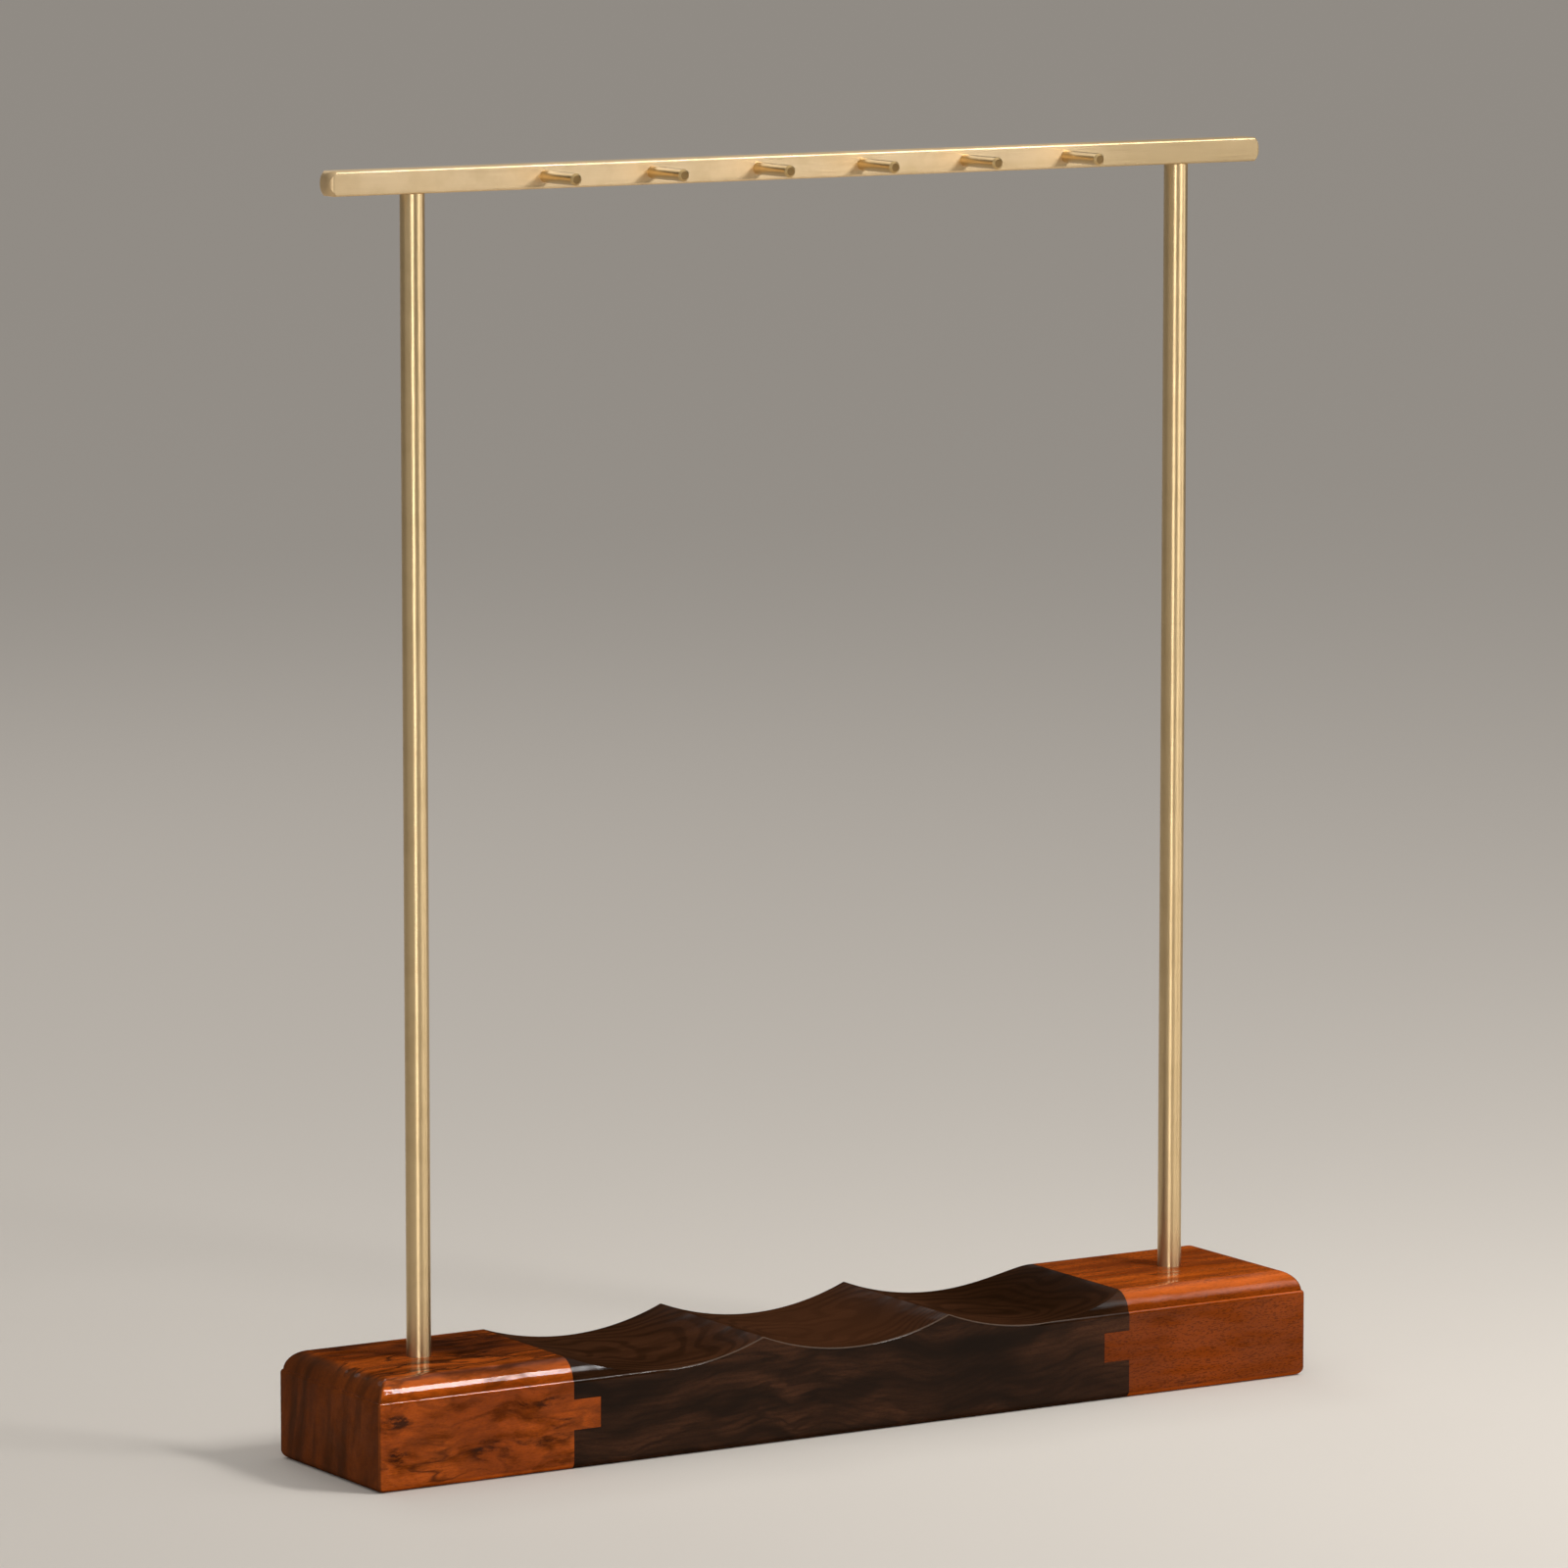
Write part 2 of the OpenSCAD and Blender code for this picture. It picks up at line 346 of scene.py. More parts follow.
def finish_piece(piece, node, material):
    """Cleans the mesh, sets its shading and hands the piece to the frame."""
    pick(piece)
    bpy.ops.object.transform_apply(location=True, rotation=True, scale=True)
    bpy.ops.object.mode_set(mode="EDIT")
    bpy.ops.mesh.select_all(action="SELECT")
    bpy.ops.mesh.remove_doubles(threshold=WELD)
    bpy.ops.mesh.normals_make_consistent(inside=False)
    bpy.ops.object.mode_set(mode="OBJECT")
    bpy.ops.object.shade_smooth_by_angle(angle=SMOOTH_LIMIT)
    even = piece.modifiers.new("even_normals", "WEIGHTED_NORMAL")
    even.keep_sharp = True
    bpy.ops.object.modifier_apply(modifier=even.name)
    piece.data.materials.clear()
    piece.data.materials.append(material)
    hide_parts(node)
    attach(piece, BODY)


# The moulded edge


def foot_levels(sizes):
    """Insets and heights of the rounded lower edge, from the underside up."""
    foot = sizes.foot_round
    return [(foot - across, up) for across, up in quarter_round(foot)]


def moulding_levels(sizes):
    """Insets and heights from the underside, up the side, over the ledge and the round to the top."""
    ledge, ease, radius = sizes.ledge, sizes.ledge_ease, sizes.roundover
    ledge_z = BASE_TOP - sizes.ledge_drop
    levels = foot_levels(sizes)
    levels += [(ledge * (1 - math.cos(a)), ledge_z - ease * (1 - math.sin(a))) for a in arc(0, RIM_END)]
    centre_z = BASE_TOP - radius
    first = math.asin((ledge_z - centre_z) / radius)
    levels += [
        (ledge + radius * (1 - math.cos(a)), centre_z + radius * math.sin(a)) for a in arc(first, QUARTER)
    ]
    return levels


def plain_levels(sizes):
    """The same underside below a square top."""
    return foot_levels(sizes) + [(0, BASE_TOP)]


def tongue_heights(sizes):
    """Heights of the lower and upper face of the tongues."""
    return (BASE_TOP - sizes.tongue) / 2, (BASE_TOP + sizes.tongue) / 2


def post_holes_tool(sizes):
    """Socket, screw hole and counterbore of the left post as one turned shape."""
    socket = POST_RADIUS + sizes.glue
    counterbore = (WASHER_HIGH.x - WASHER_LOW.x) / 2 + COUNTERBORE_SPACE
    profile = [
        (counterbore, -CUT_MARGIN),
        (counterbore, WASHER_HIGH.z),
        (SCREW_HOLE_RADIUS, WASHER_HIGH.z),
        (SCREW_HOLE_RADIUS, POST_LOW.z),
        (socket, POST_LOW.z),
        (socket, BASE_TOP + CUT_MARGIN),
    ]
    return turned("post_holes_tool", (-POST_X, 0), profile)


def left_end_block(name, sizes):
    """The left end of the base: moulded on three sides, sawn at the joint, with tongue and post holes."""
    hidden = 4 * sizes.roundover
    middle = ((-BASE_END - JOINT_X + hidden) / 2, 0)
    half = ((BASE_END - JOINT_X + hidden) / 2, -BASE_FRONT)
    piece = rounded_stack(name, middle, half, sizes.corner, moulding_levels(sizes))
    cut_at((-JOINT_X, 0, 0), (1, 0, 0))
    low, high = tongue_heights(sizes)
    for height in (low, high):
        score((0, 0, height), (0, 0, 1))
    select_faces(piece, lambda place, normal: normal.x > FACES_AXIS and low < place.z < high)
    bpy.ops.mesh.extrude_region_move(TRANSFORM_OT_translate={"value": (TONGUE_LENGTH, 0, 0)})
    carve(piece, post_holes_tool(sizes))
    return piece


def scoop_tool(sizes, x):
    """A round trough tool whose ends flare, so that the rims of the scoop come out eased."""
    width = SCOOP_PITCH - sizes.ridge
    radius = ((width / 2) ** 2 + sizes.scoop_depth**2) / (2 * sizes.scoop_depth)
    axis_z = BASE_TOP - sizes.scoop_depth + radius
    ease = sizes.scoop_ease
    face = -BASE_FRONT
    flare = [(radius + up, face - ease + across) for across, up in quarter_round(ease)]
    flare.append((radius + ease, face + CUT_MARGIN))
    tool = turned("scoop_tool", (0, 0), both_ends(flare[::-1]), facets=SCOOP_FACETS)
    lay_down(QUARTER, "X", (x, 0, axis_z))
    bpy.ops.object.mode_set(mode="OBJECT")
    bpy.ops.object.transform_apply(location=True, rotation=True, scale=True)
    return tool


def centre_block(sizes):
    """The dark middle of the base; its moulding ends in the outer scoops, and each end has a groove."""
    reach = JOINT_X + 4 * sizes.roundover
    piece = rounded_stack(
        "scooped_centre", (0, 0), (reach, -BASE_FRONT), sizes.corner, moulding_levels(sizes)
    )
    for side in (-1, 1):
        cut_at((side * JOINT_X, 0, 0), (side, 0, 0))
    plain = rounded_stack(
        "plain_middle", (0, 0), (reach, -BASE_FRONT), sizes.corner, plain_levels(sizes)
    )
    for side in (-1, 1):
        cut_at((side * SCOOP_PITCH, 0, 0), (side, 0, 0))
    carve(piece, plain, operation="UNION")
    for x in (-SCOOP_PITCH, 0, SCOOP_PITCH):
        carve(piece, scoop_tool(sizes, x))
    low, high = tongue_heights(sizes)
    for side in (-1, 1):
        ends = sorted((side * (JOINT_X - TONGUE_LENGTH - sizes.glue), side * (JOINT_X + CUT_MARGIN)))
        groove = box_tool(
            (ends[0], BASE_FRONT - CUT_MARGIN, low - sizes.glue),
            (ends[1], -BASE_FRONT + CUT_MARGIN, high + sizes.glue),
        )
        carve(piece, groove)
    return piece


# Brass


def left_rod(name, sizes):
    """A round rod with a tapped foot and a turned spigot that enters the bar."""
    edge = sizes.rod_edge
    shoulder = BAR_LOW.z
    profile = [
        (THREAD_RADIUS + sizes.glue, SCREW_HIGH.z + THREAD_SPACE),
        (THREAD_RADIUS + sizes.glue, POST_LOW.z),
        (POST_RADIUS - edge, POST_LOW.z),
        (POST_RADIUS, POST_LOW.z + edge),
        (POST_RADIUS, shoulder - edge / 2),
        (POST_RADIUS - edge / 2, shoulder),
        (POST_SPIGOT_RADIUS, shoulder),
        (POST_SPIGOT_RADIUS, POST_HIGH.z),
    ]
    return turned(name, (-POST_X, 0), profile)


def rod_round_bar(half, reach, corner):
    """A round rod that the bar fits inside, with round ends that meet the corners of the bar's ends."""
    flat = math.hypot(*half) - corner
    tip = [(flat + across, reach - up) for across, up in quarter_round(corner)]
    return turned("rod_round_bar", (0, 0), both_ends(tip))


def point_forward(low, high):
    """Lays the turned shape that is being edited on the axis of one peg's box."""
    lay_down(-QUARTER, "X", ((low.x + high.x) / 2, 0, (low.z + high.z) / 2))


def drill_bar(piece, sizes):
    """Blind bores in the bar for the spigots of the rods and of the pegs."""
    rod_bore = POST_SPIGOT_RADIUS + sizes.glue
    for side in (-1, 1):
        depth = [(rod_bore, BAR_LOW.z - CUT_MARGIN), (rod_bore, POST_HIGH.z + SPIGOT_SPACE)]
        carve(piece, turned("rod_drill", (side * POST_X, 0), depth, facets=BORE_FACETS))
    peg_bore = PEG_SPIGOT_RADIUS + sizes.glue
    for index in range(1, PEG_COUNT + 1):
        low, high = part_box(f"peg_{index}")
        depth = [(peg_bore, -high.y - SPIGOT_SPACE), (peg_bore, -BAR_LOW.y + CUT_MARGIN)]
        drill = turned("peg_drill", (0, 0), depth, facets=BORE_FACETS)
        point_forward(low, high)
        carve(piece, drill)


def bar(sizes):
    """The square bar, raised end up through its rounded ends, laid down and drilled."""
    half = ((BAR_HIGH.z - BAR_LOW.z) / 2, (BAR_HIGH.y - BAR_LOW.y) / 2)
    reach = BAR_HIGH.x
    end = sizes.bar_end
    tip = [(end - across, reach - up) for across, up in quarter_round(end)]
    piece = rounded_stack("hanging_bar", (0, 0), half, sizes.bar_edge, both_ends(tip))
    carve(piece, rod_round_bar(half, reach, sizes.bar_corner), "INTERSECT")
    bpy.ops.object.mode_set(mode="EDIT")
    lay_down(QUARTER, "Y", (0, 0, (BAR_LOW.z + BAR_HIGH.z) / 2))
    drill_bar(piece, sizes)
    return piece


def first_peg(name, sizes):
    """A round peg with a chamfered tip and a thin spigot inside the bar."""
    radius = (PEG_HIGH.x - PEG_LOW.x) / 2
    edge = sizes.peg_edge
    tip = -PEG_LOW.y
    face = -BAR_LOW.y
    profile = [
        (PEG_SPIGOT_RADIUS, -PEG_HIGH.y),
        (PEG_SPIGOT_RADIUS, face),
        (radius, face),
        (radius, tip - edge),
        (radius - edge, tip),
    ]
    piece = turned(name, (0, 0), profile, facets=SMALL_FACETS)
    point_forward(PEG_LOW, PEG_HIGH)
    return piece


# Foot screws


def left_screw(name):
    """A pan-head screw with a cross slot, driven up from below."""
    head = (SCREW_HIGH.x - SCREW_LOW.x) / 2
    flat = head - HEAD_CROWN
    profile = [(flat + across, SCREW_LOW.z + up) for across, up in quarter_round(HEAD_CROWN)]
    profile += [
        (head, WASHER_LOW.z),
        (THREAD_RADIUS, WASHER_LOW.z),
        (THREAD_RADIUS, SCREW_HIGH.z - SCREW_POINT),
        (THREAD_RADIUS - SCREW_POINT, SCREW_HIGH.z),
    ]
    piece = turned(name, (-POST_X, 0), profile, facets=SMALL_FACETS)
    for along, across in ((SLOT_REACH, SLOT_WIDTH / 2), (SLOT_WIDTH / 2, SLOT_REACH)):
        slot = box_tool(
            (-POST_X - along, -across, SCREW_LOW.z - CUT_MARGIN),
            (-POST_X + along, across, SCREW_LOW.z + SLOT_DEPTH),
        )
        carve(piece, slot)
    return piece


def left_washer(name):
    """A flat ring under the screw head."""
    outer = (WASHER_HIGH.x - WASHER_LOW.x) / 2
    profile = [
        (outer - WASHER_EDGE, WASHER_LOW.z),
        (outer, WASHER_LOW.z + WASHER_EDGE),
        (outer, WASHER_HIGH.z - WASHER_EDGE),
        (outer - WASHER_EDGE, WASHER_HIGH.z),
    ]
    piece = turned(name, (-POST_X, 0), profile, facets=SMALL_FACETS)
    through = [(SCREW_HOLE_RADIUS, 0), (SCREW_HOLE_RADIUS, WASHER_HIGH.z + CUT_MARGIN)]
    carve(piece, turned("hole_tool", (-POST_X, 0), through, facets=BORE_FACETS))
    return piece


# Materials


class Wiring:
    """Adds nodes to a tree and links them, one call for each node."""

    def __init__(self, tree):
        self.tree = tree
        tree.nodes.clear()

    def put(self, socket, value):
        """Links an output to the socket, or sets a plain value on it."""
        if isinstance(value, bpy.types.NodeSocket):
            self.tree.links.new(value, socket)
        else:
            socket.default_value = value

    def fill(self, sockets, values):
        """Puts each value on the socket of that name or number."""
        for key, value in values.items():
            self.put(sockets[key], value)

    def add(self, kind, inputs=None, **settings):
        """A new node with these settings, and with inputs by name or number."""
        node = self.tree.nodes.new(kind)
        for key, value in settings.items():
            setattr(node, key, value)
        self.fill(node.inputs, inputs or {})
        return node

    def math(self, operation, a, b=0.0):
        return self.add("ShaderNodeMath", {0: a, 1: b}, operation=operation).outputs[0]

    def plus(self, a, b):
        return self.math("ADD", a, b)

    def times(self, a, b):
        return self.math("MULTIPLY", a, b)

    def over(self, a, b):
        return self.math("DIVIDE", a, b)

    def vector(self, operation, a, b):
        return self.add("ShaderNodeVectorMath", {0: a, 1: b}, operation=operation).outputs[0]

    def stretch(self, vector, factors):
        return self.vector("MULTIPLY", vector, factors)

    def split(self, vector):
        """The X, Y and Z of a vector, by name."""
        return self.add("ShaderNodeSeparateXYZ", {0: vector}).outputs

    def join(self, x, y, z):
        return self.add("ShaderNodeCombineXYZ", {0: x, 1: y, 2: z}).outputs[0]

    def noise(self, vector, seed, scale, detail=2.0, roughness=0.5, output=0):
        inputs = {"Vector": vector, "W": seed, "Scale": scale, "Detail": detail, "Roughness": roughness}
        return self.add("ShaderNodeTexNoise", inputs, noise_dimensions="4D").outputs[output]

    def ramp(self, value, low, high, to_low=0.0, to_high=1.0):
        """Goes smoothly from one result to the other while the value goes from low to high."""
        inputs = {"Value": value, "From Min": low, "From Max": high, "To Min": to_low, "To Max": to_high}
        return self.add("ShaderNodeMapRange", inputs, interpolation_type="SMOOTHSTEP").outputs[0]

    def mix(self, factor, a, b):
        """Colour a where the factor is 0, and colour b where it is 1."""
        return self.add("ShaderNodeMix", {0: factor, 6: a, 7: b}, data_type="RGBA").outputs[2]

    def bump(self, height, distance, strength=1.0):
        inputs = {"Height": height, "Distance": distance, "Strength": strength}
        return self.add("ShaderNodeBump", inputs).outputs[0]


def new_group(name, vectors, numbers, outputs):
    """An empty shader node group with named inputs for vectors and numbers, and named outputs."""
    tree = bpy.data.node_groups.new(name, "ShaderNodeTree")
    for labels, way, kind in (
        (vectors, "INPUT", "NodeSocketVector"),
        (numbers, "INPUT", "NodeSocketFloat"),
        (outputs, "OUTPUT", "NodeSocketFloat"),
    ):
        for label in labels:
            tree.interface.new_socket(name=label, in_out=way, socket_type=kind)
    wires = Wiring(tree)
    return tree, wires, wires.add("NodeGroupInput").outputs, wires.add("NodeGroupOutput").inputs


# Growth rings, in millimetres: their width, and the square of half their chord over their rise
RING_WIDTH = 1.7
RING_BOW = 90.0

# Length in millimetres over which a band keeps its tone, and the share of a steady wave in it
BAND_LENGTH = 40.0
BAND_WAVE = 0.08

# Stretch of the patterns along X, Y and Z
PER_MM = (1 / MM, 1 / MM, 1 / MM)
SWIRL_STRETCH = (1, 1, 0.4)
FIBRE_STRETCH = (0.1, 3, 3)
PORE_STRETCH = (1.1, 4.2, 4.2)

# Steps from the seed of a finish, so that its noises differ
WOOD_STEPS = {"bands": 7.3, "clouds": 25.0, "flames": 14.9, "veins": 31.0, "fibres": 11.0, "pores": 3.1}
RIPPLE_STEP = 18.0
CLOUD_STEP = 5.0
BLOT_STEP = 9.0

NOISE_MIDDLE = 0.5
VEIN_WIDTH = 0.045
BLOTS_PER_METRE = 110.0
FULL_TURN = 2 * math.pi


def wood_figure_group(name):
    """Figure of the woods in millimetres: bands across Y, bent by swirls, and flames and pores along X."""
    tree, wires, given, out = new_group(
        name,
        ["Vector"],
        ["Seed", "Band Width", "Slant", "Swirl", "Swirl Size", "Flame Length", "Flame Width"],
        ["Tone", "Bands", "Clouds", "Flames", "Veins", "Rings", "Fibres", "Pores"],
    )
    seed = given["Seed"]
    seeds = {pattern: wires.plus(seed, step) for pattern, step in WOOD_STEPS.items()}
    place = wires.stretch(given["Vector"], PER_MM)
    swirl_scale = wires.over(1.0, given["Swirl Size"])
    swirl = wires.noise(wires.stretch(place, SWIRL_STRETCH), seed, swirl_scale, output="Color")
    swirl = wires.vector("SUBTRACT", swirl, (NOISE_MIDDLE, NOISE_MIDDLE, NOISE_MIDDLE))
    swirl = wires.add("ShaderNodeVectorMath", {0: swirl, "Scale": given["Swirl"]}, operation="SCALE")
    bent = wires.split(wires.vector("ADD", place, swirl.outputs[0]))
    across = wires.plus(bent["Y"], wires.times(bent["Z"], given["Slant"]))
    turns = wires.over(across, given["Band Width"])
    grain = wires.join(wires.over(bent["X"], BAND_LENGTH), turns, wires.over(bent["Z"], BAND_LENGTH))
    licks = wires.join(
        wires.over(bent["X"], given["Flame Length"]),
        wires.over(bent["Y"], given["Flame Width"]),
        wires.over(bent["Z"], given["Flame Width"]),
    )
    tone = wires.noise(grain, seed, scale=0.7, detail=3.0, roughness=0.6)
    broken = wires.noise(grain, seeds["bands"], scale=1.4, roughness=0.6)
    wave = wires.math("SINE", wires.times(turns, FULL_TURN))
    bands = wires.plus(broken, wires.times(wave, BAND_WAVE))
    clouds = wires.noise(licks, seeds["clouds"], scale=0.3, detail=5.0, roughness=0.65)
    flames = wires.noise(licks, seeds["flames"], scale=0.6, detail=5.0, roughness=0.65)
    contour = wires.noise(licks, seeds["veins"], scale=0.22, detail=3.0)
    contour = wires.math("ABSOLUTE", wires.math("SUBTRACT", contour, NOISE_MIDDLE))
    veins = wires.ramp(contour, 0.0, VEIN_WIDTH, 1.0, 0.0)
    veins = wires.times(veins, wires.ramp(tone, 0.4, 0.6, 0.3, 1.0))
    bow = wires.over(wires.times(bent["Y"], bent["Y"]), RING_BOW)
    layers = wires.over(wires.plus(bent["Z"], bow), RING_WIDTH)
    rings = wires.plus(wires.math("SINE", wires.times(layers, FULL_TURN)), broken)
    fibres = wires.noise(wires.stretch(place, FIBRE_STRETCH), seeds["fibres"], scale=1.0)
    pores = wires.noise(wires.stretch(place, PORE_STRETCH), seeds["pores"], scale=1.0, detail=1.0)
    patterns = {
        "Tone": wires.ramp(tone, 0.3, 0.64),
        "Bands": wires.ramp(bands, 0.34, 0.7),
        "Clouds": wires.ramp(clouds, 0.42, 0.66),
        "Flames": wires.ramp(flames, 0.42, 0.62),
        "Veins": veins,
        "Rings": wires.ramp(rings, 0.2, 1.4),
        "Fibres": wires.ramp(fibres, 0.3, 0.7),
        "Pores": wires.ramp(pores, 0.46, 0.68),
    }
    wires.fill(out, patterns)
    return tree


def brush_lines_group(name):
    """Fine lines along the least stretched axis, and the clouds and blots of a hand-rubbed finish."""
    tree, wires, given, out = new_group(
        name, ["Vector", "Place"], ["Seed"], ["Lines", "Cloud", "Blots"]
    )
    seed = given["Seed"]
    blot_seed = wires.plus(seed, BLOT_STEP)
    lines = wires.noise(given["Vector"], seed, scale=1.0, detail=3.0, roughness=0.6)
    cloud = wires.noise(given["Vector"], wires.plus(seed, CLOUD_STEP), scale=0.05)
    blots = wires.noise(given["Place"], blot_seed, scale=BLOTS_PER_METRE, detail=3.0, roughness=0.6)
    patterns = {
        "Lines": wires.ramp(lines, 0.25, 0.75),
        "Cloud": wires.ramp(cloud, 0.3, 0.7),
        "Blots": wires.ramp(blots, 0.42, 0.68),
    }
    wires.fill(out, patterns)
    return tree


GROUP_MAKERS = {"wood_figure": wood_figure_group, "brush_lines": brush_lines_group}


def place_group(wires, name, inputs):
    """Places a shared node group, which is made at its first use, and gives its outputs."""
    tree = bpy.data.node_groups.get(name) or GROUP_MAKERS[name](name)
    return wires.add("ShaderNodeGroup", inputs, node_tree=tree).outputs


# Figure of each wood, and spots of painted shade; lengths in millimetres. A spot has a middle and a reach
# along X, Y and Z
SWIRLED_FIGURE = {
    "Seed": 1.7,
    "Band Width": 6.5,
    "Slant": 0.12,
    "Swirl": 12.0,
    "Swirl Size": 24.0,
    "Flame Length": 5.0,
    "Flame Width": 1.4,
}
SWIRLED_KNOTS = {
    "upper left": ((-130, -25, 17), (7, 4, 2.6)),
    "lower left": ((-129.5, -25, 8.5), (4.5, 4, 3.5)),
    "lower middle": ((-104.5, -25, 7.5), (9, 4, 4)),
    "upper right": ((-92, -25, 17.5), (14, 4, 2.5)),
    "lower right": ((-91, -25, 8), (10, 4, 2)),
    "joint": ((-84, -25, 10.5), (5, 4, 5)),
    "top front": ((-97, -6, 27), (10, 9, 3)),
    "top back": ((-92, 8, 27), (16, 13, 3)),
}
# Darker spots on the left block's top, beside the rod and along the back edge: partly its dark figure,
# partly painted shade
SWIRLED_FIGURE_AND_SHADE = {
    "beside the rod": ((-94, 6, 27), (25, 17, 5)),
    "back edge": ((-120, 22, 25), (18, 10, 8)),
}
STRAIGHT_FIGURE = {
    "Seed": 8.4,
    "Band Width": 5.0,
    "Slant": 0.1,
    "Swirl": 4.0,
    "Swirl Size": 40.0,
    "Flame Length": 7.0,
    "Flame Width": 1.2,
}
STRAIGHT_KNOTS = {
    "top left": ((96, 5.5, 27), (7, 1.5, 3)),
    "top middle": ((101.5, -8.5, 27), (5, 1.2, 3)),
    "front foot": ((101, -25, 2.2), (8, 3, 1.4)),
}
# Painted shade under the ledge on the right block's front
STRAIGHT_PAINTED_SHADE = {"below the ledge": ((90, -25, 20.5), (16, 3, 3))}
WAVY_FIGURE = {
    "Seed": 4.2,
    "Band Width": 9.0,
    "Slant": 0.9,
    "Swirl": 26.0,
    "Swirl Size": 42.0,
    "Flame Length": 12.0,
    "Flame Width": 1.5,
}
PALE_SCOOP = {"middle scoop": ((4, 0, 24), (30, 40, 9))}
# Painted shade in the right scoop
SHADED_SCOOP = {"right scoop": ((68, 6, 26), (34, 40, 12))}
SPOT_CORE = 0.3

# Depth of each pattern in the colour, from 0 to 1; the depths of the lighter rounded edges and of the
# darker tops, fronts and spots are painted light and shade
SWIRLED_DEPTHS = {
    "bands": 0.55,
    "front bands": 0.32,
    "end bands": 0.65,
    "front mid": 0.1,
    "front painted shade": 0.02,
    "top painted shade": 0.16,
    "painted edge light": 0.8,
    "clouds": 0.62,
    "knots": 0.95,
    "shade_patches": 0.75,
    "flames": 0.2,
    "veins": 0.85,
    "pores": 0.2,
}
STRAIGHT_DEPTHS = {
    "bands": 0.1,
    "front bands": 0.25,
    "end bands": 0.5,
    "front mid": 0.85,
    "front painted shade": 0.27,
    "top painted shade": 0.1,
    "painted edge light": 0.5,
    "clouds": 0.1,
    "knots": 0.8,
    "shade_patches": 0.3,
    "flames": 0.05,
    "veins": 0.1,
    "pores": 0.5,
}
# In the dark wood, the rim depth is a painted highlight and the dark scoop depth is painted shade
DARK_DEPTHS = {
    "pores": 0.3,
    "veins": 0.6,
    "bands": 0.7,
    "top bands": 0.3,
    "top light": 0.4,
    "rings": 0.25,
    "top rings": 0.4,
    "pale scoop": 0.5,
    "painted shade scoop": 0.7,
    "rim": 0.8,
}
FIBRE_DEPTH = 0.3
END_GRAIN_DEPTH = 0.75
# Share of the dark pores left under the painted light on the rounded upper edges
PAINTED_LIGHT_PORES = 0.4

# Shares of the surface normal along an axis, where an effect starts and where it is complete
FACE_ON = (0.5, 0.95)
# Where the painted light on the rounded upper edges starts and where it stops
PAINTED_LIGHT_STARTS = (0.3, 0.6)
PAINTED_LIGHT_STOPS = (0.85, 0.99)
RIM_STARTS = (0.25, 0.5)
RIM_STOPS = (0.7, 0.95)
RIM_UPWARD = (0.1, 0.3)
END_BANDS = (0.3, 0.9)
END_CLEAR = (0.4, 0.9)
END_GRAIN = (0.05, 0.6)
END_DULL = (0.05, 0.35)
TOP_DULL = (0.8, 0.95)
UNDER_DULL = (-0.6, -0.1)
GRAZING = (0.5, 0.8)
CUT_FACE = (0.85, 0.98)
BAR_FACE = (0.8, 0.99)

# Coat weight that is left where the lacquer is thin or dull
END_GLOSS = 0.12
UNDER_GLOSS = 0.1
CLOUD_GLOSS = 0.3
TOP_GLOSS = 0.3
RIM_GLOSS = 0.35
GRAZING_GLOSS = 0.02

WOOD_ROUGHNESS = (0.38, 0.55)
LACQUER_RIPPLE = 0.16 * MM
RIPPLES_PER_METRE = 140.0
GLOSS_LACQUER = {
    "Specular IOR Level": 0.0,
    "Coat Weight": 1.0,
    "Coat Roughness": 0.03,
    "Coat IOR": 1.25,
}
SATIN_LACQUER = {**GLOSS_LACQUER, "Coat Roughness": 0.13, "Coat IOR": 1.2}


def rgba(colour):
    return (*colour, 1.0)


def new_material(name):
    """A new material, its node tree, its Object coordinates and the inputs of its Principled shader."""
    material = bpy.data.materials.new(name)
    material.use_nodes = True
    wires = Wiring(material.node_tree)
    place = wires.add("ShaderNodeTexCoord").outputs["Object"]
    shader = wires.add("ShaderNodeBsdfPrincipled")
    wires.add("ShaderNodeOutputMaterial", {"Surface": shader.outputs[0]})
    return material, wires, place, shader.inputs


def lacquered(wires, shader, place, grain, seed, lacquer):
    """Clear lacquer that is not quite flat, over wood whose pores are duller."""
    wires.fill(shader, lacquer)
    wires.put(shader["Roughness"], wires.ramp(grain["Pores"], 0.0, 1.0, *WOOD_ROUGHNESS))
    ripple = wires.noise(place, seed + RIPPLE_STEP, scale=RIPPLES_PER_METRE, detail=1.0)
    wires.put(shader["Coat Normal"], wires.bump(ripple, LACQUER_RIPPLE))


def spot_mask(wires, place, spots):
    """Mask that is full in the middle of each named spot and fades to nothing at its reach."""
    mask = 0.0
    for middle, reach in spots.values():
        offset = wires.vector("SUBTRACT", place, Vector(middle) * MM)
        scaled = wires.vector("DIVIDE", offset, Vector(reach) * MM)
        away = wires.add("ShaderNodeVectorMath", {0: scaled}, operation="LENGTH").outputs["Value"]
        mask = wires.math("MAXIMUM", mask, wires.ramp(away, SPOT_CORE, 1.0, 1.0, 0.0))
    return mask


def normal_axes(wires):
    """Parts of the surface normal along X, Y and Z, with their signs and without."""
    normal = wires.add("ShaderNodeTexCoord").outputs["Normal"]
    return wires.split(normal), wires.split(wires.vector("ABSOLUTE", normal, normal))


